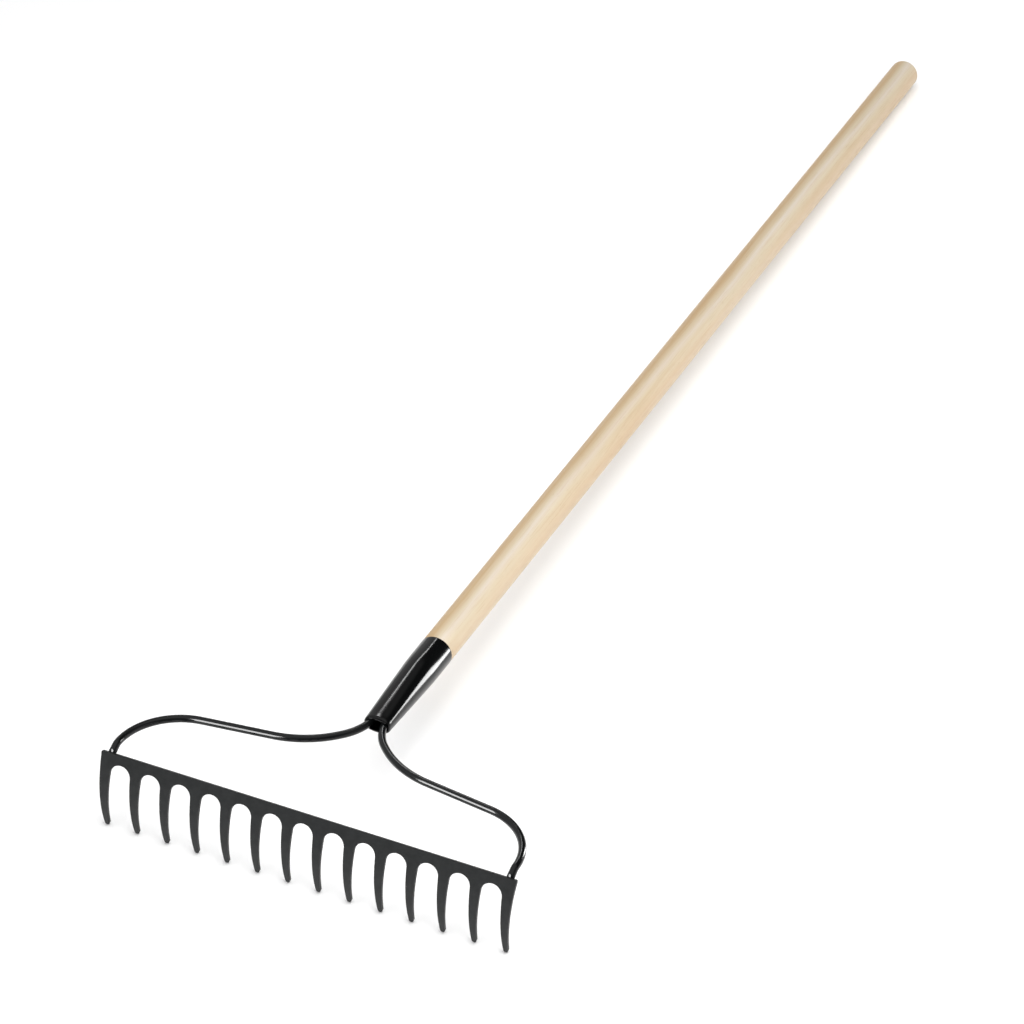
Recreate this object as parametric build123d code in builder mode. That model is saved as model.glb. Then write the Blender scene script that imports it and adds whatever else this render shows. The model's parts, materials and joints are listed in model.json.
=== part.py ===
from build123d import *
from math import atan2, copysign, cos, degrees, pi, radians, sin
import os

# Bow rake lying as it is put down: on the tips of its tines and the butt of its handle.
# Millimetres. X runs along the tine bar, Y towards the butt of the handle, Z up.
# The origin is on the ground, under the middle of the rake.
#
# Places are given in the rake's own axes first: x along the tine bar, y along the handle
# from the ferrule's rim towards the butt, z square to both. Lying down, the rake leans by a
# few degrees, so the work planes below carry those axes into the frame above.

# Handle: a straight round shaft with a domed butt, reduced where it enters the ferrule.
HANDLE_RADIUS = 14.0
HANDLE_OUTSIDE = 1094.0
HANDLE_INSIDE = 85.0
BUTT_DOME = 7.0

# Ferrule: a steel socket, round at its rim and squeezed to an oval at its mouth, which sits
# a little below the handle's axis and ends in a turned-in lip.
FERRULE_LENGTH = 108.0
FERRULE_RADIUS = 14.2
FERRULE_WALL = 1.0
FERRULE_ROUND_LENGTH = 20.0
MOUTH_HALF_WIDTH = 11.4
MOUTH_HALF_HEIGHT = 7.6
MOUTH_SQUARENESS = 0.4
MOUTH_DROP = 0.8
LIP_LENGTH = 4.0
LIP_EDGE = 0.5
OPENING_HALF_WIDTH = 10.2
OPENING_HALF_HEIGHT = 5.2
SQUEEZE_EASE = 0.2
SQUEEZE_SHARES = (0.0, 0.05, 0.1, 0.15, 0.2, 1.0)
WOOD_CLEARANCE = 0.1
OUTLINE_POINTS = 24

# Bow: two round steel rods whose straight ends are the tangs inside the handle.
ROD_RADIUS = 3.15
TANG_X = 5.3
TANG_TOP = -38.0
TANG_POINT = 1.0
TANG_CLEARANCE = 0.05
ROD_NECK = (5.3, -117.6)
ROD_SHOULDER = (39.9, -152.6)
ROD_CORNER = (170.4, -170.9)
ROD_HEEL_Y = -219.0
NECK_BEND = 46.0
SHOULDER_BEND = 81.5
CORNER_BEND = 52.7
HEEL_BEND = 8.0
HEEL_DROP_ANGLE = 28.0
HEEL_LENGTH = 18.0

# Tine bar: one stamping, a flat bar whose tines curve down and back towards the handle.
TINE_COUNT = 14
TINE_PITCH = 26.5
BAR_LENGTH = 355.0
BAR_DEPTH = 8.0
BAR_Y = -231.0
BAR_Z = -1.2
BAR_SLOPE = 21.2
BAR_THICKNESS = 3.5
BAR_EDGE_ROUNDING = 0.7
TINE_LENGTH = 70.5
TINE_BEND = 91.0
TINE_ROOT_WIDTH = 8.6
TINE_TIP_WIDTH = 3.9
TIP_ROUNDING = 1.8

# Weld beads behind the bar, and the nail that stops the ferrule from turning.
WELD_WIDTH = 2.4
WELD_HEIGHT = 2.6
WELD_TOE = 0.4
NAIL_Y = -12.0
NAIL_RADIUS = 1.0
NAIL_LENGTH = 15.0
NAIL_POINT = 2.5
NAIL_HEAD_RADIUS = 2.6
NAIL_HEAD_HEIGHT = 1.1
NAIL_CLEARANCE = 0.05

# How the rake lies. The tips' place follows from the bar's slope and the tines' bend.
slope = radians(BAR_SLOPE)
tine_turn = (TINE_LENGTH - BAR_DEPTH) / TINE_BEND
tip_slope = slope - tine_turn
tip_y = BAR_Y - BAR_DEPTH * sin(slope) - TINE_BEND * (cos(tip_slope) - cos(slope))
tip_z = BAR_Z - BAR_DEPTH * cos(slope) - TINE_BEND * (sin(slope) - sin(tip_slope))
nose_y = BAR_Y - BAR_DEPTH * sin(slope) - TINE_BEND * (1 - cos(slope))
butt_y = HANDLE_OUTSIDE - BUTT_DOME
lean = atan2(-tip_z - HANDLE_RADIUS, butt_y - tip_y)

along_handle = Vector(0, cos(lean), -sin(lean))
upward = Vector(0, sin(lean), cos(lean))
rim_height = butt_y * sin(lean) + HANDLE_RADIUS * cos(lean)
rim_y = -cos(lean) * (HANDLE_OUTSIDE + nose_y) / 2
rim_centre = Vector(0, rim_y, rim_height)

# bow_plane holds the handle's axis and the rods, side_plane is the plane of symmetry.
bow_plane = Plane(origin=rim_centre, x_dir=(1, 0, 0), z_dir=upward)
side_plane = Plane(origin=rim_centre, x_dir=along_handle, z_dir=(1, 0, 0))
handle_axis = Axis(rim_centre, along_handle)


def across_handle(y):
    """The plane square to the handle at y, seen from the butt, with its own y pointing down."""
    return Plane(origin=rim_centre + along_handle * y, x_dir=(1, 0, 0), z_dir=along_handle)


def squeeze_share(depth):
    """How far the ferrule is squeezed at a depth from its rim: 0 is round, 1 is its mouth."""
    squeeze_length = FERRULE_LENGTH - LIP_LENGTH - FERRULE_ROUND_LENGTH
    t = max(0, depth - FERRULE_ROUND_LENGTH) / squeeze_length
    eased = t - SQUEEZE_EASE / 2 if t > SQUEEZE_EASE else t * t / (2 * SQUEEZE_EASE)
    return eased / (1 - SQUEEZE_EASE / 2)


def squared_oval(half_width, half_height, power, drop):
    """Points of a superellipse, an ellipse where the power is 2, on a plane across the handle."""
    points = []
    for i in range(OUTLINE_POINTS):
        turn = 2 * pi * i / OUTLINE_POINTS
        x = half_width * copysign(abs(cos(turn)) ** (2 / power), cos(turn))
        y = half_height * copysign(abs(sin(turn)) ** (2 / power), sin(turn))
        points.append((x, y + drop))
    return points


def squeezed_outline(depth, inset):
    """The ferrule's outline at a depth from its rim, less an inset."""
    share = squeeze_share(depth)
    half_width = FERRULE_RADIUS + (MOUTH_HALF_WIDTH - FERRULE_RADIUS) * share - inset
    half_height = FERRULE_RADIUS + (MOUTH_HALF_HEIGHT - FERRULE_RADIUS) * share - inset
    power = 2 + MOUTH_SQUARENESS * share
    return squared_oval(half_width, half_height, power, MOUTH_DROP * share)


def squeezed_depths(end_depth):
    """Depths of the sections that a squeezed length runs through, from the rim to its end."""
    span = end_depth - FERRULE_ROUND_LENGTH
    return [0] + [FERRULE_ROUND_LENGTH + share * span for share in SQUEEZE_SHARES]


os.makedirs("parts", exist_ok=True)

# Handle. The shaft and the dome are one turning. Inside the ferrule the wood follows the
# socket, and it is bored for the two tangs and the nail.
nail_tip = NAIL_LENGTH - FERRULE_RADIUS

with BuildPart() as handle:
    with BuildSketch(side_plane):
        with BuildLine():
            Polyline((0, 0), (0, HANDLE_RADIUS), (butt_y, HANDLE_RADIUS))
            EllipticalCenterArc((butt_y, 0), BUTT_DOME, HANDLE_RADIUS)
            Line((HANDLE_OUTSIDE, 0), (0, 0))
        make_face()
    revolve(axis=handle_axis)
    for depth in squeezed_depths(FERRULE_LENGTH - LIP_LENGTH):
        with BuildSketch(across_handle(-depth)):
            with BuildLine():
                Spline(squeezed_outline(depth, FERRULE_WALL + WOOD_CLEARANCE), periodic=True)
            make_face()
    loft(ruled=True)
    split(bisect_by=across_handle(-HANDLE_INSIDE), keep=Keep.TOP)
    with BuildSketch(across_handle(-HANDLE_INSIDE)):
        with Locations((-TANG_X, 0), (TANG_X, 0)):
            Circle(ROD_RADIUS + TANG_CLEARANCE)
    extrude(amount=HANDLE_INSIDE + TANG_TOP, mode=Mode.SUBTRACT)
    with BuildSketch(bow_plane.offset(nail_tip)):
        with Locations((0, NAIL_Y)):
            Circle(NAIL_RADIUS + NAIL_CLEARANCE)
    extrude(amount=-NAIL_LENGTH, mode=Mode.SUBTRACT)

# Ferrule: its outside, the turned-in lip, then the socket and the opening in the lip.
with BuildPart() as ferrule:
    for depth in squeezed_depths(FERRULE_LENGTH - LIP_LENGTH):
        with BuildSketch(across_handle(-depth)):
            with BuildLine():
                Spline(squeezed_outline(depth, 0), periodic=True)
            make_face()
    loft(ruled=True)
    mouth_power = 2 + MOUTH_SQUARENESS
    lip_end = (OPENING_HALF_WIDTH + LIP_EDGE, OPENING_HALF_HEIGHT + LIP_EDGE)
    for depth, half_sizes in (
        (FERRULE_LENGTH - LIP_LENGTH, (MOUTH_HALF_WIDTH, MOUTH_HALF_HEIGHT)),
        (FERRULE_LENGTH, lip_end),
    ):
        with BuildSketch(across_handle(-depth)):
            with BuildLine():
                Spline(squared_oval(*half_sizes, mouth_power, MOUTH_DROP), periodic=True)
            make_face()
    loft()
    for depth in squeezed_depths(FERRULE_LENGTH - LIP_LENGTH):
        with BuildSketch(across_handle(-depth)):
            with BuildLine():
                Spline(squeezed_outline(depth, FERRULE_WALL), periodic=True)
            make_face()
    loft(ruled=True, mode=Mode.SUBTRACT)
    with BuildSketch(across_handle(-FERRULE_LENGTH)):
        with BuildLine():
            opening = (OPENING_HALF_WIDTH, OPENING_HALF_HEIGHT, mouth_power, MOUTH_DROP)
            Spline(squared_oval(*opening), periodic=True)
        make_face()
    extrude(amount=LIP_LENGTH + FERRULE_WALL, mode=Mode.SUBTRACT)
    with BuildSketch(bow_plane):
        with Locations((0, NAIL_Y)):
            Circle(NAIL_RADIUS + NAIL_CLEARANCE)
    extrude(amount=-2 * FERRULE_RADIUS, mode=Mode.SUBTRACT)

# Tine bar. The side profile makes a curved plate, and the comb's outline cuts it out.
bar_top = rim_centre + along_handle * BAR_Y + upward * BAR_Z
front_normal = upward * sin(slope) - along_handle * cos(slope)
bar_face = Plane(origin=bar_top, x_dir=(1, 0, 0), z_dir=front_normal)
back_face = bar_face.offset(-BAR_THICKNESS)
heading = (-sin(slope), -cos(slope))
knee = (BAR_Y + BAR_DEPTH * heading[0], BAR_Z + BAR_DEPTH * heading[1])
back_shift = (BAR_THICKNESS * cos(slope), -BAR_THICKNESS * sin(slope))
back_top = (BAR_Y + back_shift[0], BAR_Z + back_shift[1])
back_knee = (knee[0] + back_shift[0], knee[1] + back_shift[1])

tine_xs = [TINE_PITCH * (i - (TINE_COUNT - 1) / 2) for i in range(TINE_COUNT)]
gap_xs = [x + TINE_PITCH / 2 for x in tine_xs[:-1]]
arch_radius = (TINE_PITCH - TINE_ROOT_WIDTH) / 2
root_v = -(BAR_DEPTH + arch_radius)
half_root = TINE_ROOT_WIDTH / 2
half_tip = TINE_TIP_WIDTH / 2
half_bar_foot = tine_xs[-1] + half_root

with BuildPart() as tine_bar:
    with BuildSketch(side_plane):
        with BuildLine():
            Line((BAR_Y, BAR_Z), knee)
            front_arc = JernArc(knee, heading, TINE_BEND, degrees(tine_turn))
            back_arc = JernArc(back_knee, heading, TINE_BEND - BAR_THICKNESS, degrees(tine_turn))
            Line(front_arc @ 1, back_arc @ 1)
            Polyline(back_knee, back_top, (BAR_Y, BAR_Z))
        make_face()
    extrude(amount=BAR_LENGTH / 2, both=True)
    with BuildSketch(bar_face):
        Polygon(
            (-BAR_LENGTH / 2, 0),
            (BAR_LENGTH / 2, 0),
            (half_bar_foot, root_v),
            (-half_bar_foot, root_v),
            align=None,
        )
        with Locations(*[(x, root_v) for x in gap_xs]):
            Circle(arch_radius, mode=Mode.SUBTRACT)
        with Locations(*[(x, 0) for x in tine_xs]):
            Polygon(
                (-half_root, root_v),
                (half_root, root_v),
                (half_tip, -TINE_LENGTH),
                (-half_tip, -TINE_LENGTH),
                align=None,
            )
    extrude(amount=TINE_LENGTH, both=True, mode=Mode.INTERSECT)
    tip_faces = tine_bar.faces().sort_by(Axis.Z)[:TINE_COUNT]
    tip_edges = [e for f in tip_faces for e in f.edges() if abs(e.length - BAR_THICKNESS) < 0.1]
    fillet(tip_edges, TIP_ROUNDING)
    fillet(tine_bar.edges().group_by(Edge.length)[-1], BAR_EDGE_ROUNDING)

# Bow rods. Each runs from its tang round three bends, then dips behind the bar, where its
# end is cut flush against the bar's back.
heel = (ROD_CORNER[0], ROD_HEEL_Y, 0)
drop = radians(HEEL_DROP_ANGLE)
rod_end = (heel[0], heel[1] - HEEL_LENGTH * cos(drop), -HEEL_LENGTH * sin(drop))

with BuildPart() as bow_rod_right:
    with BuildLine(bow_plane):
        FilletPolyline(
            (TANG_X, TANG_TOP, 0),
            (*ROD_NECK, 0),
            (*ROD_SHOULDER, 0),
            (*ROD_CORNER, 0),
            heel,
            rod_end,
            radius=(NECK_BEND, SHOULDER_BEND, CORNER_BEND, HEEL_BEND),
        )
    with BuildSketch(across_handle(TANG_TOP)):
        with Locations((TANG_X, 0)):
            Circle(ROD_RADIUS)
    sweep()
    tang_end = bow_rod_right.edges().filter_by(GeomType.CIRCLE).sort_by(handle_axis)[-1]
    chamfer(tang_end, TANG_POINT)
    split(bisect_by=back_face, keep=Keep.BOTTOM)

with BuildPart() as bow_rod_left:
    mirror(bow_rod_right.part, about=Plane.YZ)

# Weld beads: a collar of filler round each rod's end, standing on the bar's back and
# ground level with the bar's top.
heel_point = rim_centre + Vector(heel[0], 0, 0) + along_handle * heel[1]
heel_heading = along_handle * -cos(drop) - upward * sin(drop)
square_on = heel_heading.dot(front_normal)
to_back = (back_face.origin - heel_point).dot(front_normal) / square_on
bar_top_face = Plane(origin=bar_top, x_dir=(1, 0, 0), z_dir=bar_face.y_dir)

with BuildPart() as bar_weld_right:
    for height, width in ((0, WELD_WIDTH), (WELD_HEIGHT, WELD_TOE)):
        centre = heel_point + heel_heading * (to_back - height / square_on)
        with BuildSketch(Plane(origin=centre, x_dir=(1, 0, 0), z_dir=front_normal)):
            Ellipse(ROD_RADIUS + width, ROD_RADIUS / square_on + width)
    loft()
    split(bisect_by=bar_top_face, keep=Keep.BOTTOM)
    add([bow_rod_right.part, tine_bar.part], mode=Mode.SUBTRACT)

with BuildPart() as bar_weld_left:
    mirror(bar_weld_right.part, about=Plane.YZ)

# Ferrule nail: driven up through the underside, with its domed head on the steel.
with BuildPart() as ferrule_nail:
    with BuildSketch(side_plane):
        with BuildLine():
            Polyline(
                (NAIL_Y, -FERRULE_RADIUS - NAIL_HEAD_HEIGHT),
                (NAIL_Y, nail_tip),
                (NAIL_Y + NAIL_RADIUS, nail_tip - NAIL_POINT),
                (NAIL_Y + NAIL_RADIUS, -FERRULE_RADIUS),
                (NAIL_Y + NAIL_HEAD_RADIUS, -FERRULE_RADIUS),
            )
            EllipticalCenterArc((NAIL_Y, -FERRULE_RADIUS), NAIL_HEAD_RADIUS, NAIL_HEAD_HEIGHT, 270)
        make_face()
    revolve(axis=Axis(rim_centre + along_handle * NAIL_Y, upward))

pieces = {
    "handle": handle,
    "ferrule": ferrule,
    "bow_rod_left": bow_rod_left,
    "bow_rod_right": bow_rod_right,
    "tine_bar": tine_bar,
    "bar_weld_left": bar_weld_left,
    "bar_weld_right": bar_weld_right,
    "ferrule_nail": ferrule_nail,
}
for name, piece in pieces.items():
    piece.part.label = name
    export_step(piece.part, f"parts/{name}.step")
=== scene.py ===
"""Bow rake: the looks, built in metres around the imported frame.

Places come from the frame: the handle mount gives the handle's axis and the ferrule's rim,
and the bar_front mount gives the slope of the tine bar. Each piece is modelled in the rake's
own axes (x along the bar, y along the handle towards its butt, z square to both), and its
mesh is then carried into the frame.
"""

import json
import math

import bmesh
import bpy
from mathutils import Matrix, Vector, noise


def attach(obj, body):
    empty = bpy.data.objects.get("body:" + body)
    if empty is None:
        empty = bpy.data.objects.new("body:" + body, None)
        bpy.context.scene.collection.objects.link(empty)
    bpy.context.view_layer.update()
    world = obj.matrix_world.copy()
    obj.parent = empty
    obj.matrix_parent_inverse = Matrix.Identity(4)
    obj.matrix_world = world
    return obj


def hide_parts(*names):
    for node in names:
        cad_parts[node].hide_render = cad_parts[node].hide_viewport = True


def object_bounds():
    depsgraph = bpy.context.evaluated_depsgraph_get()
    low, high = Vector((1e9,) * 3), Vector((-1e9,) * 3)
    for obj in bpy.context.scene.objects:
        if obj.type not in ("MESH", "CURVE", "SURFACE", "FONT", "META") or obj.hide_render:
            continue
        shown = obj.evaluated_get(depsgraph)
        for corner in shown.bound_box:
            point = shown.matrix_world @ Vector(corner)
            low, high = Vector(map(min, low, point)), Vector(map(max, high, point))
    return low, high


MM = 0.001

# Handle
HANDLE_RADIUS = 14.0 * MM
HANDLE_LENGTH = 1094.0 * MM
HANDLE_INSIDE = 12.0 * MM
INSIDE_SHARE = 0.93
INSIDE_END_SHARE = 0.9
SHOULDER_EDGE = 0.3 * MM
BUTT_DOME = 7.0 * MM
UNEVENNESS = 0.0012

# Ferrule
FERRULE_LENGTH = 108.0 * MM
FERRULE_RADIUS = 14.2 * MM
FERRULE_WALL = 1.0 * MM
FERRULE_ROUND_LENGTH = 20.0 * MM
MOUTH_HALF_WIDTH = 11.4 * MM
MOUTH_HALF_HEIGHT = 7.6 * MM
MOUTH_SQUARENESS = 0.4
MOUTH_DROP = 0.8 * MM
LIP_LENGTH = 4.0 * MM
LIP_EDGE = 0.5 * MM
LIP_CURVE = 0.8
OPENING_HALF_WIDTH = 10.2 * MM
OPENING_HALF_HEIGHT = 5.2 * MM
SQUEEZE_EASE = 0.2
RIM_ROUNDING = 0.45 * MM
RIM_END = 1.5 * MM
CREASE_GAP = 0.5 * MM
EDGE_BREAK = 0.25 * MM

# Bow rods: the corners of the centre line, and the radius of the bend at each
ROD_RADIUS = 3.15 * MM
TANG_TOP = Vector((5.3, -60.0, 0.0)) * MM
ROD_CORNERS = [
    Vector((5.3, -117.6, 0.0)) * MM,
    Vector((39.9, -152.6, 0.0)) * MM,
    Vector((170.4, -170.9, 0.0)) * MM,
    Vector((170.4, -219.0, 0.0)) * MM,
]
ROD_BENDS = [46.0 * MM, 81.5 * MM, 52.7 * MM, 8.0 * MM]
HEEL_DROP_ANGLE = math.radians(28.0)
HEEL_LENGTH = 18.0 * MM
HEEL_BEND_END = 5.0 * MM

# Tine bar
TINE_COUNT = 14
TINE_PITCH = 26.5 * MM
BAR_LENGTH = 355.0 * MM
BAR_DEPTH = 8.0 * MM
BAR_Y = -231.0 * MM
BAR_Z = -1.2 * MM
BAR_THICKNESS = 3.5 * MM
BAR_CORNER = 1.0 * MM
TINE_LENGTH = 70.5 * MM
TINE_BEND = 91.0 * MM
TINE_ROOT_WIDTH = 8.6 * MM
TINE_TIP_WIDTH = 3.9 * MM
TIP_ROUNDING = 1.75 * MM
STAMPED_EDGE = 0.5 * MM

# Weld beads and the nail
WELD_RADIUS = 1.7 * MM
WELD_GAP = 0.7 * MM
WELD_SINK = 0.2 * MM
WELD_START, WELD_END = math.radians(-22), math.radians(202)
WELD_RIPPLES = 15
NAIL_Y = -12.0 * MM
NAIL_HEAD_RADIUS = 2.55 * MM
NAIL_HEAD_HEIGHT = 1.05 * MM
NAIL_SHANK_RADIUS = 0.95 * MM
NAIL_DEPTH = 3.0 * MM

# Camera: a long lens that looks down on the rake from beyond the bar's right end
LENS = 143.7
CAMERA_PLACE = Vector((1117.7, -2393.6, 1962.8)) * MM
CAMERA_AWAY = Vector((-0.33176, 0.75293, -0.56836))
CAMERA_RIGHT = Vector((0.90791, 0.41845, 0.02437))

# Studio, in metres and degrees: each light's place, size and luminance
OVERHEAD_SHIFT = Vector((0.8, 0, 0))
OVERHEAD_DISTANCE, OVERHEAD_WIDTH, OVERHEAD_LUMINANCE = 2.5, 2.8, 3.2
FILL_HEIGHT, FILL_SIZE, FILL_LUMINANCE = 3.0, 3.0, 0.9
RIM_POINT = Vector((0, -5.0, 0)) * MM
MOUTH_POINT = Vector((0, -100.0, 0)) * MM
BROAD_DISTANCE, BROAD_WIDTH, BROAD_LUMINANCE = 0.55, 0.10, 22.0
NARROW_WIDTH, NARROW_LUMINANCE = 0.055, 15.5
BOW_POINT = Vector((0, -160.0, 0)) * MM
SOFTBOX_DISTANCE, SOFTBOX_WIDTH, SOFTBOX_LUMINANCE = 1.5, 1.0, 24.0
WORLD_DARK, WORLD_BRIGHT, WORLD_LEFT_SHARE = 0.06, 0.85, 0.75

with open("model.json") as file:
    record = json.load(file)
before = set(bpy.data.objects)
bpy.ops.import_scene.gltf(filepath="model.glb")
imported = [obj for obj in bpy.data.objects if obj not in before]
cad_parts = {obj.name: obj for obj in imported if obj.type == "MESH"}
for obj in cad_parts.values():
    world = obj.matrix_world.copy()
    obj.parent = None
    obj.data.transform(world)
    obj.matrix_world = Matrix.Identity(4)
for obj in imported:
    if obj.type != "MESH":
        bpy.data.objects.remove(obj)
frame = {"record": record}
cad_low, cad_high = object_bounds()
mounts = {mount["name"]: mount for mount in frame["record"]["mounts"]}


def rake_axes():
    """The matrix that carries the rake's own axes into the frame, from the handle mount."""
    handle = mounts["handle"]
    along = Vector(handle["axis"]).normalized()
    across = Vector((1, 0, 0))
    upward = across.cross(along)
    half_length = handle["dims"]["length_mm"] * MM / 2
    rim = Vector(handle["pos_m"]) - along * half_length
    return Matrix.Translation(rim) @ Matrix((across, along, upward)).transposed().to_4x4()


RAKE = rake_axes()
front = RAKE.to_3x3().inverted() @ Vector(mounts["bar_front"]["axis"])
BAR_SLOPE = math.atan2(front.z, -front.y)


# ---------------------------------------------------------------- materials


class Nodes:
    """A short way to write the node tree of a material or of the world."""

    def __init__(self, owner):
        owner.use_nodes = True
        self.owner = owner
        self.tree = owner.node_tree

    def add(self, kind, inputs=None, **settings):
        """Adds a node. An input is a number, a tuple, or another node's output socket."""
        node = self.tree.nodes.new(kind)
        for key, value in settings.items():
            setattr(node, key, value)
        for key, value in (inputs or {}).items():
            self.put(node.inputs[key], value)
        return node

    def put(self, socket, value):
        if isinstance(value, bpy.types.NodeSocket):
            self.tree.links.new(value, socket)
        else:
            socket.default_value = value

    def place(self, scale=(1, 1, 1)):
        """Coordinates in the rake's own axes in metres, stretched."""
        coordinates = self.add("ShaderNodeTexCoord").outputs["Object"]
        inputs = {"Vector": coordinates, "Location": RAKE.translation, "Rotation": RAKE.to_euler()}
        inputs["Scale"] = [1 / share for share in scale]
        return self.add("ShaderNodeMapping", inputs, vector_type="TEXTURE").outputs["Vector"]

    def split(self, vector):
        """The X, Y and Z sockets of a vector."""
        return self.add("ShaderNodeSeparateXYZ", {"Vector": vector}).outputs

    def math(self, operation, *values):
        inputs = dict(enumerate(values))
        return self.add("ShaderNodeMath", inputs, operation=operation).outputs["Value"]

    def noise(self, place, scale, detail=2.0, roughness=0.5):
        inputs = {"Vector": place, "Scale": scale, "Detail": detail, "Roughness": roughness}
        return self.add("ShaderNodeTexNoise", inputs).outputs["Fac"]

    def ramp(self, factor, stops):
        node = self.add("ShaderNodeValToRGB", {"Fac": factor})
        elements = node.color_ramp.elements
        while len(elements) < len(stops):
            elements.new(0.5)
        for element, (position, colour) in zip(elements, stops):
            element.position = position
            element.color = (*colour, 1)
        return node.outputs["Color"]

    def span(self, factor, low, high, out_low=0.0, out_high=1.0):
        inputs = {"Value": factor, "From Min": low, "From Max": high}
        inputs.update({"To Min": out_low, "To Max": out_high})
        return self.add("ShaderNodeMapRange", inputs).outputs["Result"]

    def mix(self, factor, a, b, blend="MIX"):
        node = self.add("ShaderNodeMix", data_type="RGBA", blend_type=blend)
        self.put(node.inputs["Factor"], factor)
        self.put(node.inputs["A"], a if isinstance(a, bpy.types.NodeSocket) else (*a, 1))
        self.put(node.inputs["B"], b if isinstance(b, bpy.types.NodeSocket) else (*b, 1))
        return node.outputs["Result"]

    def bump(self, height, distance, strength=1.0, normal=None):
        inputs = {"Height": height, "Distance": distance, "Strength": strength}
        if normal is not None:
            inputs["Normal"] = normal
        return self.add("ShaderNodeBump", inputs).outputs["Normal"]

    def finish(self, **sockets):
        surface = self.tree.nodes["Principled BSDF"]
        for name, value in sockets.items():
            self.put(surface.inputs[name.replace("_", " ")], value)
        return self.owner


def lacquered_wood():
    """Straight-grained ash under a satin lacquer, with painted light and shade across it: darker
    tan down the left side, palest just right of the middle.
    """
    n = Nodes(bpy.data.materials.new("lacquered_wood"))
    streaks = n.noise(n.place((1, 0.012, 1)), 210, 4, 0.55)
    rings = n.noise(n.place((1, 0.03, 0.35)), 75, 2, 0.5)
    fibres = n.noise(n.place((1, 0.02, 1)), 1300, 3, 0.6)
    pores = n.noise(n.place((1, 0.06, 1)), 2300, 2, 0.5)
    clouds = n.noise(n.place((1, 0.25, 1)), 14, 2, 0.5)
    drift = n.span(clouds, 0.3, 0.7, -2.0 * MM, 2.0 * MM)
    across = n.math("ADD", n.split(n.place())["X"], drift)
    # Painted light and shade: this ramp across the handle darkens the left side to tan, is palest
    # just right of the middle, and is a little darker again on the right.
    stops = [
        (0.34, (0.56, 0.40, 0.225)),
        (0.53, (0.67, 0.575, 0.42)),
        (0.66, (0.765, 0.69, 0.60)),
        (0.80, (0.76, 0.66, 0.50)),
        (1.0, (0.735, 0.57, 0.385)),
    ]
    base = n.ramp(n.span(across, -HANDLE_RADIUS, HANDLE_RADIUS), stops)
    base = n.mix(n.span(streaks, 0.35, 0.65, 0.0, 0.9), base, (0.955, 0.915, 0.86), "MULTIPLY")
    base = n.mix(n.span(rings, 0.52, 0.66, 0.0, 0.7), base, (0.94, 0.885, 0.81), "MULTIPLY")
    base = n.mix(n.span(fibres, 0.54, 0.70, 0.0, 0.75), base, (0.90, 0.83, 0.74), "MULTIPLY")
    base = n.mix(n.span(pores, 0.66, 0.76, 0.0, 0.5), base, (0.72, 0.60, 0.48), "MULTIPLY")
    relief = n.bump(fibres, 0.00004, 0.4)
    relief = n.bump(pores, 0.00005, 0.35, relief)
    return n.finish(
        Base_Color=base,
        Roughness=n.span(streaks, 0.3, 0.7, 0.42, 0.52),
        Normal=relief,
        Specular_IOR_Level=0.35,
        Coat_Weight=0.15,
        Coat_Roughness=0.3,
        Coat_IOR=1.45,
    )


def gloss_black():
    """Black enamel over steel: glossy, with fine scuffs, dust and paler worn edges."""
    n = Nodes(bpy.data.materials.new("gloss_black_enamel"))
    dust = n.noise(n.place(), 5200, 2, 0.6)
    scuffs = n.noise(n.place((1, 0.05, 1)), 1500, 3, 0.6)
    wear = n.add("ShaderNodeNewGeometry").outputs["Pointiness"]
    dusty = n.span(dust, 0.68, 0.8, 0.0, 0.25)
    colour = n.mix(dusty, (0.0028, 0.0031, 0.0033), (0.012, 0.0125, 0.013))
    colour = n.mix(n.span(wear, 0.56, 0.68, 0.0, 0.20), colour, (0.03, 0.032, 0.034))
    return n.finish(
        Base_Color=colour,
        Roughness=n.span(scuffs, 0.35, 0.75, 0.11, 0.17),
        Specular_IOR_Level=0.32,
    )


def charcoal_paint():
    """Semi-matte charcoal powder coat: a fine pebble, paler rounded edges that are edge wear with
    a painted highlight, and painted shade that blackens the faces turned up or sideways.
    """
    n = Nodes(bpy.data.materials.new("charcoal_powder_coat"))
    pebble = n.noise(n.place(), 2600, 2, 0.6)
    mottle = n.noise(n.place(), 160, 3, 0.6)
    soil = n.noise(n.place(), 420, 3, 0.65)
    geometry = n.add("ShaderNodeNewGeometry").outputs
    # Painted shade: faces turned upward or sideways along the bar, its top and its cut sides, are
    # made near black.
    facing = n.split(geometry["Normal"])
    painted_shade_faces = n.math("MAXIMUM", n.math("ABSOLUTE", facing["X"]), facing["Z"])
    # Paler rounded edges: partly edge wear, partly a painted highlight line along the bar's
    # rounded edges.
    wear_and_painted_highlight = n.span(geometry["Pointiness"], 0.55, 0.66, 0.0, 0.45)
    colour = n.mix(n.span(mottle, 0.35, 0.65), (0.024, 0.0255, 0.026), (0.0315, 0.033, 0.0335))
    colour = n.mix(n.span(pebble, 0.5, 0.75, 0.0, 0.25), colour, (0.045, 0.05, 0.05))
    colour = n.mix(wear_and_painted_highlight, colour, (0.085, 0.09, 0.09))
    colour = n.mix(n.span(painted_shade_faces, 0.80, 0.92, 0.0, 0.8), colour, (0.004, 0.0042, 0.0045))
    return n.finish(
        Base_Color=colour,
        Roughness=n.span(soil, 0.35, 0.7, 0.36, 0.48),
        Normal=n.bump(pebble, 0.00005, 0.45),
        Specular_IOR_Level=0.18,
    )


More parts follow.
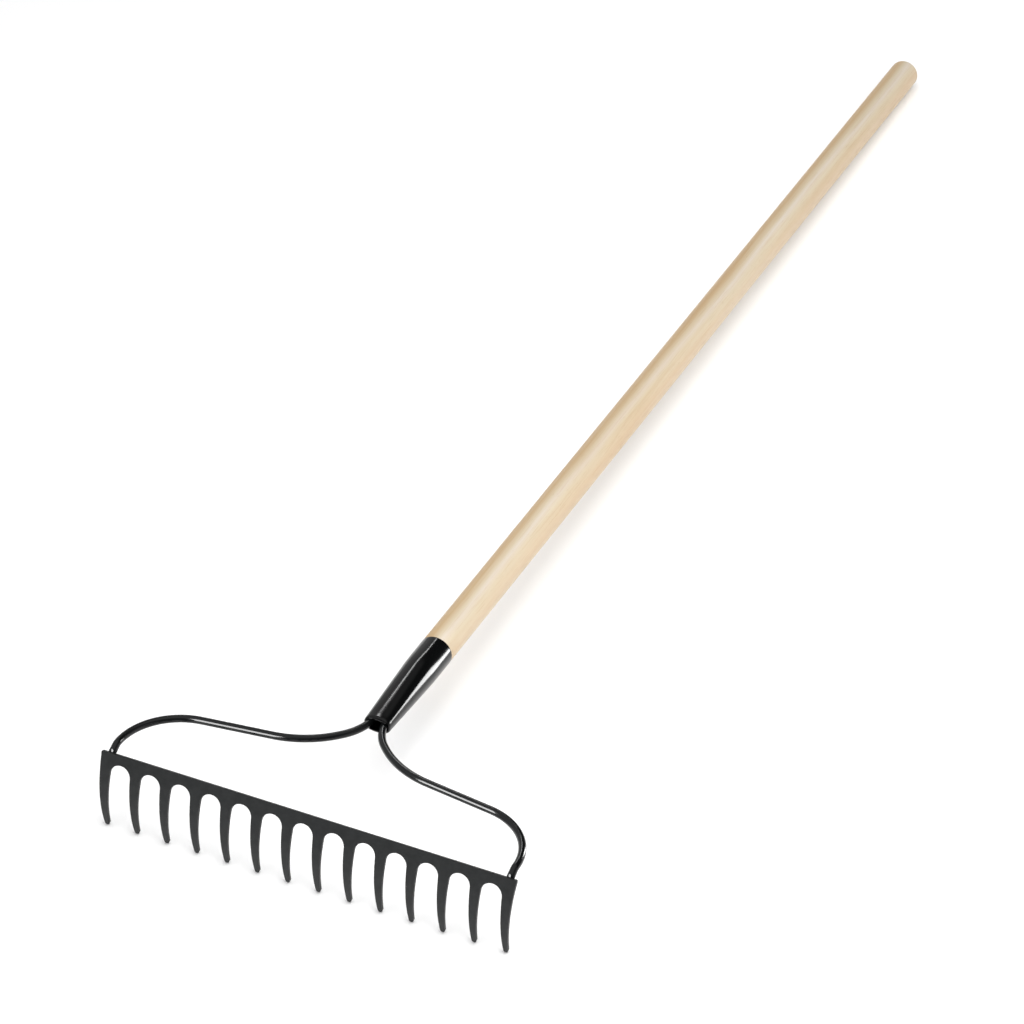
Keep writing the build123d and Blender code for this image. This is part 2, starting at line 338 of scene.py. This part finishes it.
def weld_metal():
    """A painted-over weld bead, with a randomly varying gloss and a speckled tone."""
    n = Nodes(bpy.data.materials.new("painted_weld"))
    grain = n.noise(n.place(), 1600, 3, 0.6)
    spatter = n.noise(n.place(), 700, 2, 0.5)
    colour = n.mix(n.span(spatter, 0.4, 0.7), (0.012, 0.013, 0.014), (0.035, 0.037, 0.038))
    return n.finish(
        Base_Color=colour,
        Roughness=n.span(grain, 0.3, 0.7, 0.25, 0.42),
        Normal=n.bump(grain, 0.00008, 0.5),
    )


def nail_steel():
    """Bright zinc-plated steel, a little dulled."""
    n = Nodes(bpy.data.materials.new("zinc_steel"))
    spangle = n.noise(n.place(), 1500, 2, 0.5)
    scratches = n.noise(n.place((1, 0.1, 1)), 4200, 3, 0.6)
    colour = n.mix(n.span(spangle, 0.35, 0.65), (0.50, 0.51, 0.53), (0.62, 0.63, 0.64))
    return n.finish(
        Base_Color=colour,
        Metallic=1.0,
        Roughness=n.span(scratches, 0.3, 0.7, 0.28, 0.45),
        Normal=n.bump(scratches, 0.00003, 0.4),
    )


# ---------------------------------------------------------------- pieces


def make_piece(name, mesh_data, material, slot, *nodes):
    """Carries a mesh into the frame, as a smooth piece that stands for CAD nodes."""
    mesh_data.transform(RAKE)
    piece = bpy.data.objects.new(name, mesh_data)
    bpy.context.scene.collection.objects.link(piece)
    piece.data.materials.append(material)
    piece.data.polygons.foreach_set("use_smooth", [True] * len(piece.data.polygons))
    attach(piece, "root")
    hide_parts(*nodes)
    return piece


def mesh_of_rings(name, rings, loop=False):
    """A tube of quads through rings of points. The ends are capped, or joined in a loop."""
    made = bmesh.new()
    rows = [[made.verts.new(point) for point in ring] for ring in rings]
    pairs = list(zip(rows, rows[1:] + rows[:1])) if loop else list(zip(rows, rows[1:]))
    for row, after in pairs:
        for i in range(len(row)):
            j = (i + 1) % len(row)
            made.faces.new((row[i], row[j], after[j], after[i]))
    if not loop:
        for row in (rows[0], rows[-1]):
            made.faces.new(row)
    bmesh.ops.recalc_face_normals(made, faces=made.faces)
    mesh_data = bpy.data.meshes.new(name)
    made.to_mesh(mesh_data)
    made.free()
    return mesh_data


def lathe_rings(profile, steps):
    """Rings round the y axis through (y, radius) points."""
    rings = []
    for y, radius in profile:
        turns = [2 * math.pi * i / steps for i in range(steps)]
        rings.append([Vector((radius * math.cos(t), y, radius * math.sin(t))) for t in turns])
    return rings


def make_handle():
    """The shaft, from just inside the ferrule to its domed butt, very slightly uneven."""
    straight = HANDLE_LENGTH - BUTT_DOME
    inside = INSIDE_SHARE * HANDLE_RADIUS
    profile = [(-HANDLE_INSIDE, INSIDE_END_SHARE * HANDLE_RADIUS), (-HANDLE_INSIDE, inside)]
    profile += [(0.0, inside), (0.0, HANDLE_RADIUS - SHOULDER_EDGE)]
    profile += [(SHOULDER_EDGE, HANDLE_RADIUS)]
    profile += [(straight * i / 60, HANDLE_RADIUS) for i in range(1, 61)]
    for i in range(1, 16):
        turn = math.pi / 2 * i / 16
        y = straight + BUTT_DOME * math.sin(turn)
        profile.append((y, HANDLE_RADIUS * math.cos(turn)))
    rings = lathe_rings(profile, 96)
    for ring in rings[5:]:
        for point in ring:
            ripple = noise.noise(Vector((point.x * 60, point.y * 9, point.z * 60)))
            point.x *= 1 - UNEVENNESS * abs(ripple)
            point.z *= 1 - UNEVENNESS * abs(ripple)
    mesh_data = mesh_of_rings("wood_handle", rings)
    return make_piece("wood_handle", mesh_data, lacquered_wood(), "wood", "handle")


def squared_oval(y, half_width, half_height, power, drop, steps=120):
    """A ring across the handle: a superellipse, which is an ellipse at power 2."""
    ring = []
    for i in range(steps):
        c, s = math.cos(2 * math.pi * i / steps), math.sin(2 * math.pi * i / steps)
        x = half_width * math.copysign(abs(c) ** (2 / power), c)
        z = half_height * math.copysign(abs(s) ** (2 / power), s)
        ring.append(Vector((x, y, z - drop)))
    return ring


def squeezed_ring(depth, inset):
    """The ferrule's outline at a depth from its rim, less an inset."""
    squeeze_length = FERRULE_LENGTH - LIP_LENGTH - FERRULE_ROUND_LENGTH
    t = max(0, depth - FERRULE_ROUND_LENGTH) / squeeze_length
    eased = t - SQUEEZE_EASE / 2 if t > SQUEEZE_EASE else t * t / (2 * SQUEEZE_EASE)
    share = eased / (1 - SQUEEZE_EASE / 2)
    half_width = FERRULE_RADIUS + (MOUTH_HALF_WIDTH - FERRULE_RADIUS) * share - inset
    half_height = FERRULE_RADIUS + (MOUTH_HALF_HEIGHT - FERRULE_RADIUS) * share - inset
    power = 2 + MOUTH_SQUARENESS * share
    return squared_oval(-depth, half_width, half_height, power, MOUTH_DROP * share)


def lip_ring(share, inset):
    """A ring on the rounded lip, from the crease at 0 to the edge of the opening at 1."""
    turn = math.pi / 2 * share
    inward = 1 - math.cos(turn) ** LIP_CURVE if share < 1 else 1
    depth = FERRULE_LENGTH - LIP_LENGTH * (1 - math.sin(turn) ** LIP_CURVE)
    end_width = OPENING_HALF_WIDTH + LIP_EDGE
    end_height = OPENING_HALF_HEIGHT + LIP_EDGE
    half_width = MOUTH_HALF_WIDTH + (end_width - MOUTH_HALF_WIDTH) * inward - inset
    half_height = MOUTH_HALF_HEIGHT + (end_height - MOUTH_HALF_HEIGHT) * inward - inset
    return squared_oval(-depth, half_width, half_height, 2 + MOUTH_SQUARENESS, MOUTH_DROP)


def make_ferrule(material):
    """The steel socket: rolled rim, round to squeezed oval, creased and turned-in lip."""
    crease = FERRULE_LENGTH - LIP_LENGTH
    rings = []
    for i in range(6):
        turn = math.pi / 2 * i / 5
        inset = RIM_ROUNDING * (1 - math.sin(turn))
        rings.append(squeezed_ring(RIM_ROUNDING * (1 - math.cos(turn)), inset))
    outside = crease - CREASE_GAP - RIM_END
    rings += [squeezed_ring(RIM_END + outside * i / 44, 0) for i in range(45)]
    rings += [lip_ring(i / 12, 0) for i in range(1, 12)]
    rings.append(lip_ring(1.0, 0.1 * MM))
    rings.append(lip_ring(1.0, 0.35 * MM))
    opening = (OPENING_HALF_WIDTH, OPENING_HALF_HEIGHT, 2 + MOUTH_SQUARENESS, MOUTH_DROP)
    rings.append(squared_oval(-FERRULE_LENGTH + EDGE_BREAK, *opening))
    rings.append(squared_oval(-FERRULE_LENGTH + LIP_LENGTH, *opening))
    for i in range(21):
        depth = crease - 2 * MM - (crease - 8 * MM) * i / 20
        rings.append(squeezed_ring(depth, FERRULE_WALL))
    rings.append(squeezed_ring(0.0, FERRULE_WALL))
    rings.append(squeezed_ring(0.0, RIM_ROUNDING * 1.4))
    mesh_data = mesh_of_rings("steel_ferrule", rings, loop=True)
    return make_piece("steel_ferrule", mesh_data, material, "gloss_black", "ferrule")


def filleted_path(points, bends, step):
    """Points and directions along straight runs joined by tangent arcs."""
    path = [(points[0], (points[1] - points[0]).normalized())]
    for before, corner, after, radius in zip(points, points[1:], points[2:], bends):
        arriving = (corner - before).normalized()
        leaving = (after - corner).normalized()
        turn = arriving.angle(leaving)
        start = corner - arriving * radius * math.tan(turn / 2)
        inward = (leaving - arriving * arriving.dot(leaving)).normalized()
        centre = start + inward * radius
        count = max(6, round(turn * radius / step))
        for i in range(count + 1):
            t = turn * i / count
            point = centre - inward * radius * math.cos(t) + arriving * radius * math.sin(t)
            path.append((point, arriving * math.cos(t) + inward * math.sin(t)))
    path.append((points[-1], (points[-1] - points[-2]).normalized()))
    return path


def tube_rings(path, radius, steps, side):
    """Rings square to a path. The first side direction is carried along without twist."""
    rings = []
    for point, direction in path:
        side = (side - direction * side.dot(direction)).normalized()
        other = direction.cross(side)
        turns = [2 * math.pi * i / steps for i in range(steps)]
        rings.append([point + (side * math.cos(t) + other * math.sin(t)) * radius for t in turns])
    return rings


def back_of_bar():
    """A point on the bar's back at its top edge, and the back's normal, away from the handle."""
    normal = Vector((0, -math.cos(BAR_SLOPE), math.sin(BAR_SLOPE)))
    return Vector((0, BAR_Y, BAR_Z)) - normal * BAR_THICKNESS, normal


def heel_line():
    """The start and direction of the straight end of the right-hand rod."""
    direction = Vector((0, -math.cos(HEEL_DROP_ANGLE), -math.sin(HEEL_DROP_ANGLE)))
    return ROD_CORNERS[-1], direction


def make_rod(name, node, side, material):
    """One bow rod. Its last ring is slid along the rod onto the back of the bar."""
    heel, drop = heel_line()
    points = [TANG_TOP] + ROD_CORNERS + [heel + drop * HEEL_LENGTH]
    path = filleted_path(points, ROD_BENDS, 1.5 * MM)
    path.insert(-1, (heel + drop * HEEL_BEND_END, drop))
    rings = tube_rings(path, ROD_RADIUS, 40, Vector((0, 0, 1)))
    back, normal = back_of_bar()
    for i, point in enumerate(rings[-1]):
        rings[-1][i] = point - drop * ((point - back).dot(normal) / drop.dot(normal))
    if side < 0:
        rings = [[Vector((-p.x, p.y, p.z)) for p in ring] for ring in rings]
    return make_piece(name, mesh_of_rings(name, rings), material, "gloss_black", node)


def make_weld(name, node, side, material):
    """A rippled bead round the lower side of a rod's end, on the back of the bar."""
    heel, drop = heel_line()
    back, normal = back_of_bar()
    along_face = Vector((1, 0, 0)).cross(normal)
    centre = heel - drop * ((heel - back).dot(normal) / drop.dot(normal))
    long_side = along_face * (ROD_RADIUS / abs(drop.dot(normal)) + WELD_GAP)
    short_side = Vector((1, 0, 0)) * (ROD_RADIUS + WELD_GAP)
    path, sizes = [], []
    for i in range(121):
        share = i / 120
        t = WELD_START + (WELD_END - WELD_START) * share
        place = short_side * math.cos(t) + long_side * math.sin(t)
        ahead = long_side * math.cos(t) - short_side * math.sin(t)
        path.append((centre + place - normal * WELD_SINK, ahead.normalized()))
        wave = (share * WELD_RIPPLES) % 1
        taper = min(1, 8 * share, 8 * (1 - share)) ** 0.5
        sizes.append((0.82 + 0.18 * math.sin(math.pi * wave) ** 0.6) * (0.25 + 0.75 * taper))
    rings = tube_rings(path, WELD_RADIUS, 20, normal)
    for ring, size, (middle, _) in zip(rings, sizes, path):
        for k, point in enumerate(ring):
            ring[k] = middle + (point - middle) * size
    if side < 0:
        rings = [[Vector((-p.x, p.y, p.z)) for p in ring] for ring in rings]
    return make_piece(name, mesh_of_rings(name, rings), material, "charcoal_paint", node)


def arc_points(centre, radius, start, end, count):
    """Points along an arc, both ends included, with angles in degrees."""
    points = []
    for i in range(count + 1):
        t = math.radians(start + (end - start) * i / count)
        points.append((centre[0] + radius * math.cos(t), centre[1] + radius * math.sin(t)))
    return points


def tine_outline(middle):
    """One tine's rounded end in the flat, from its left side round to its right side."""
    half = TINE_TIP_WIDTH / 2
    tip = TINE_LENGTH - TIP_ROUNDING
    inner = half - TIP_ROUNDING
    left = arc_points((middle - inner, tip), TIP_ROUNDING, 184, 90, 6)
    right = arc_points((middle + inner, tip), TIP_ROUNDING, 90, -4, 6)
    return left + right


def comb_outline():
    """The stamping's outline in the flat: x along the bar, u down from its top edge."""
    arch = (TINE_PITCH - TINE_ROOT_WIDTH) / 2
    root = BAR_DEPTH + arch
    first = -TINE_PITCH * (TINE_COUNT - 1) / 2
    half = BAR_LENGTH / 2
    foot = -first + TINE_ROOT_WIDTH / 2
    outline = arc_points((half - BAR_CORNER, BAR_CORNER), BAR_CORNER, 0, -90, 5)
    outline += arc_points((-half + BAR_CORNER, BAR_CORNER), BAR_CORNER, -90, -180, 5)
    outline.append((-foot, root))
    for k in range(TINE_COUNT):
        middle = first + TINE_PITCH * k
        outline += tine_outline(middle)
        if k < TINE_COUNT - 1:
            outline += arc_points((middle + TINE_PITCH / 2, root), arch, 180, 360, 20)
    outline.append((foot, root))
    return outline


def bend_down(x, u, w):
    """Carries a point of the flat comb, w in front of its face, onto the curved plate."""
    flat = min(u, BAR_DEPTH)
    turn = (u - flat) / TINE_BEND
    slope = BAR_SLOPE - turn
    y = BAR_Y - flat * math.sin(BAR_SLOPE) - TINE_BEND * (math.cos(slope) - math.cos(BAR_SLOPE))
    z = BAR_Z - flat * math.cos(BAR_SLOPE) - TINE_BEND * (math.sin(BAR_SLOPE) - math.sin(slope))
    return Vector((x, y - w * math.cos(slope), z + w * math.sin(slope)))


def make_tine_bar():
    """The comb: cut flat, its edges rounded, sliced into rows and bent to its curve."""
    made = bmesh.new()
    outline = comb_outline()
    front_face = made.faces.new([made.verts.new((x, u, 0)) for x, u in outline])
    pulled = bmesh.ops.extrude_face_region(made, geom=[front_face])
    moved = [part for part in pulled["geom"] if isinstance(part, bmesh.types.BMVert)]
    bmesh.ops.translate(made, verts=moved, vec=(0, 0, -BAR_THICKNESS))
    if len(made.faces) == len(outline) + 1:  # the pull took the front face away
        made.faces.new([made.verts.new((x, u, 0)) for x, u in outline])
    bmesh.ops.recalc_face_normals(made, faces=made.faces)
    rims = [e for e in made.edges if abs(e.verts[0].co.z - e.verts[1].co.z) < 1e-6]
    bmesh.ops.bevel(
        made, geom=rims, offset=STAMPED_EDGE, segments=3, profile=0.5, affect="EDGES",
        clamp_overlap=True,
    )
    rows = 40
    for i in range(1, rows):
        u = BAR_DEPTH + (TINE_LENGTH - BAR_DEPTH) * i / rows
        everything = made.verts[:] + made.edges[:] + made.faces[:]
        bmesh.ops.bisect_plane(made, geom=everything, plane_co=(0, u, 0), plane_no=(0, 1, 0))
    bmesh.ops.triangulate(made, faces=[face for face in made.faces if len(face.verts) > 4])
    for vert in made.verts:
        vert.co = bend_down(*vert.co)
    bmesh.ops.recalc_face_normals(made, faces=made.faces)
    mesh_data = bpy.data.meshes.new("steel_tine_bar")
    made.to_mesh(mesh_data)
    made.free()
    piece = make_piece(
        "steel_tine_bar", mesh_data, charcoal_paint(), "charcoal_paint", "tine_bar"
    )
    weighted = piece.modifiers.new("weighted_normals", "WEIGHTED_NORMAL")
    weighted.weight = 90
    return piece


def make_nail():
    """The nail's domed head on the underside of the ferrule, with the start of its shank."""
    profile = [(NAIL_DEPTH, 0.3 * NAIL_SHANK_RADIUS), (NAIL_DEPTH, NAIL_SHANK_RADIUS)]
    profile += [(0.0, NAIL_SHANK_RADIUS), (0.0, NAIL_HEAD_RADIUS - 0.1 * MM)]
    for i in range(13):
        turn = math.pi / 2 * i / 12.5
        height = NAIL_HEAD_HEIGHT * math.sin(turn) ** 0.8
        profile.append((-height, NAIL_HEAD_RADIUS * math.cos(turn)))
    rings = lathe_rings(profile, 32)
    for ring in rings:
        for k, point in enumerate(ring):
            ring[k] = Vector((point.x, NAIL_Y + point.z, -FERRULE_RADIUS + point.y))
    mesh_data = mesh_of_rings("nail", rings)
    return make_piece("nail", mesh_data, nail_steel(), "nail_steel", "ferrule_nail")


# ---------------------------------------------------------------- studio


def make_camera():
    data = bpy.data.cameras.new("camera")
    data.lens = LENS
    data.sensor_width = 36.0
    data.clip_end = 50.0
    camera = bpy.data.objects.new("camera", data)
    bpy.context.scene.collection.objects.link(camera)
    up = CAMERA_RIGHT.cross(CAMERA_AWAY)
    turn = Matrix((CAMERA_RIGHT, up, -CAMERA_AWAY)).transposed().to_4x4()
    camera.matrix_world = RAKE @ Matrix.Translation(CAMERA_PLACE) @ turn
    bpy.context.scene.camera = camera


def make_floor():
    """A plain pale floor, with a barely visible mottle."""
    n = Nodes(bpy.data.materials.new("studio_floor"))
    mottle = n.noise(n.place(), 3, 2, 0.5)
    colour = n.mix(mottle, (0.93, 0.93, 0.93), (0.95, 0.95, 0.95))
    material = n.finish(Base_Color=colour, Roughness=0.9, Specular_IOR_Level=0.1)
    made = bmesh.new()
    bmesh.ops.create_grid(made, x_segments=1, y_segments=1, size=12)
    mesh_data = bpy.data.meshes.new("floor")
    made.to_mesh(mesh_data)
    made.free()
    floor = bpy.data.objects.new("floor", mesh_data)
    floor.location = (0, 0, cad_low.z - 0.0005)
    bpy.context.scene.collection.objects.link(floor)
    floor.data.materials.append(material)
    return floor


def toward(azimuth, elevation):
    """The direction at an azimuth from +y towards +x and an elevation, in degrees."""
    turn, rise = math.radians(azimuth), math.radians(elevation)
    level = Vector((math.sin(turn), math.cos(turn), 0)) * math.cos(rise)
    return level + Vector((0, 0, math.sin(rise)))


def make_strip(name, start, end, width, luminance, lit, shading=()):
    """A strip light from start to end that faces the ferrule's rim.

    It lights only some pieces, and every piece shades it unless shading lists those that do.
    """
    middle = (start + end) / 2
    length = (end - start).length
    data = bpy.data.lights.new(name, "AREA")
    data.shape = "RECTANGLE"
    data.size, data.size_y = width, length
    data.energy = luminance * math.pi * width * length
    lamp = bpy.data.objects.new(name, data)
    bpy.context.scene.collection.objects.link(lamp)
    lamp.visible_camera = False
    linking = lamp.light_linking
    linking.receiver_collection = bpy.data.collections.new(name + "_receivers")
    for piece in lit:
        linking.receiver_collection.objects.link(piece)
    if shading:
        linking.blocker_collection = bpy.data.collections.new(name + "_blockers")
        for piece in shading:
            linking.blocker_collection.objects.link(piece)
    lengthwise = (end - start).normalized()
    facing = (middle - lengthwise * middle.dot(lengthwise)).normalized()
    turn = Matrix((lengthwise.cross(facing), lengthwise, facing)).transposed().to_4x4()
    lamp.matrix_world = RAKE @ Matrix.Translation(middle) @ turn


def make_world():
    """A studio that is bright at its left, right and top, and dark between them."""
    world = bpy.data.worlds.new("studio")
    bpy.context.scene.world = world
    n = Nodes(world)
    axes = n.split(n.add("ShaderNodeTexCoord").outputs["Generated"])
    left = n.span(axes["X"], -0.26, -0.40, 0.0, WORLD_LEFT_SHARE)
    right = n.span(axes["X"], 0.78, 0.95)
    top = n.span(axes["Z"], 0.72, 0.90)
    bright = n.math("MAXIMUM", n.math("MAXIMUM", left, right), top)
    background = n.tree.nodes["Background"]
    n.put(background.inputs["Color"], (1, 1, 1, 1))
    n.put(background.inputs["Strength"], n.span(bright, 0.0, 1.0, WORLD_DARK, WORLD_BRIGHT))


def make_studio(floor, matt, ferrule, rods):
    """Soft light from above, two strips behind for the ferrule, and a softbox before the rods."""
    bpy.context.scene.view_settings.view_transform = "Standard"
    make_world()
    enamelled = [ferrule] + rods

    start = OVERHEAD_SHIFT + OVERHEAD_DISTANCE * toward(180, 55)
    end = OVERHEAD_SHIFT + OVERHEAD_DISTANCE * toward(0, 75)
    make_strip("overhead", start, end, OVERHEAD_WIDTH, OVERHEAD_LUMINANCE, [floor] + matt)

    start, end = Vector((0, -FILL_SIZE / 2, FILL_HEIGHT)), Vector((0, FILL_SIZE / 2, FILL_HEIGHT))
    make_strip("floor_fill", start, end, FILL_SIZE, FILL_LUMINANCE, [floor], [floor])

    start = RIM_POINT + BROAD_DISTANCE * toward(43.6, -9)
    end = MOUTH_POINT + BROAD_DISTANCE * toward(48.5, 15)
    make_strip("ferrule_right", start, end, BROAD_WIDTH, BROAD_LUMINANCE, enamelled, enamelled)

    start, end = RIM_POINT + toward(-17, 39.7), MOUTH_POINT + toward(-33, 45.5)
    make_strip("ferrule_top", start, end, NARROW_WIDTH, NARROW_LUMINANCE, enamelled)

    start = BOW_POINT + SOFTBOX_DISTANCE * toward(-138, 23)
    end = BOW_POINT + SOFTBOX_DISTANCE * toward(-177, 23)
    make_strip("bow_front", start, end, SOFTBOX_WIDTH, SOFTBOX_LUMINANCE, rods)


make_camera()
floor = make_floor()
handle = make_handle()
enamel = gloss_black()
ferrule = make_ferrule(enamel)
left_rod = make_rod("bow_rod_left_side", "bow_rod_left", -1, enamel)
right_rod = make_rod("bow_rod_right_side", "bow_rod_right", 1, enamel)
tine_bar = make_tine_bar()
bead_metal = weld_metal()
left_bead = make_weld("weld_bead_left", "bar_weld_left", -1, bead_metal)
right_bead = make_weld("weld_bead_right", "bar_weld_right", 1, bead_metal)
nail = make_nail()
matt_pieces = [handle, tine_bar, left_bead, right_bead, nail]
make_studio(floor, matt_pieces, ferrule, [left_rod, right_rod])
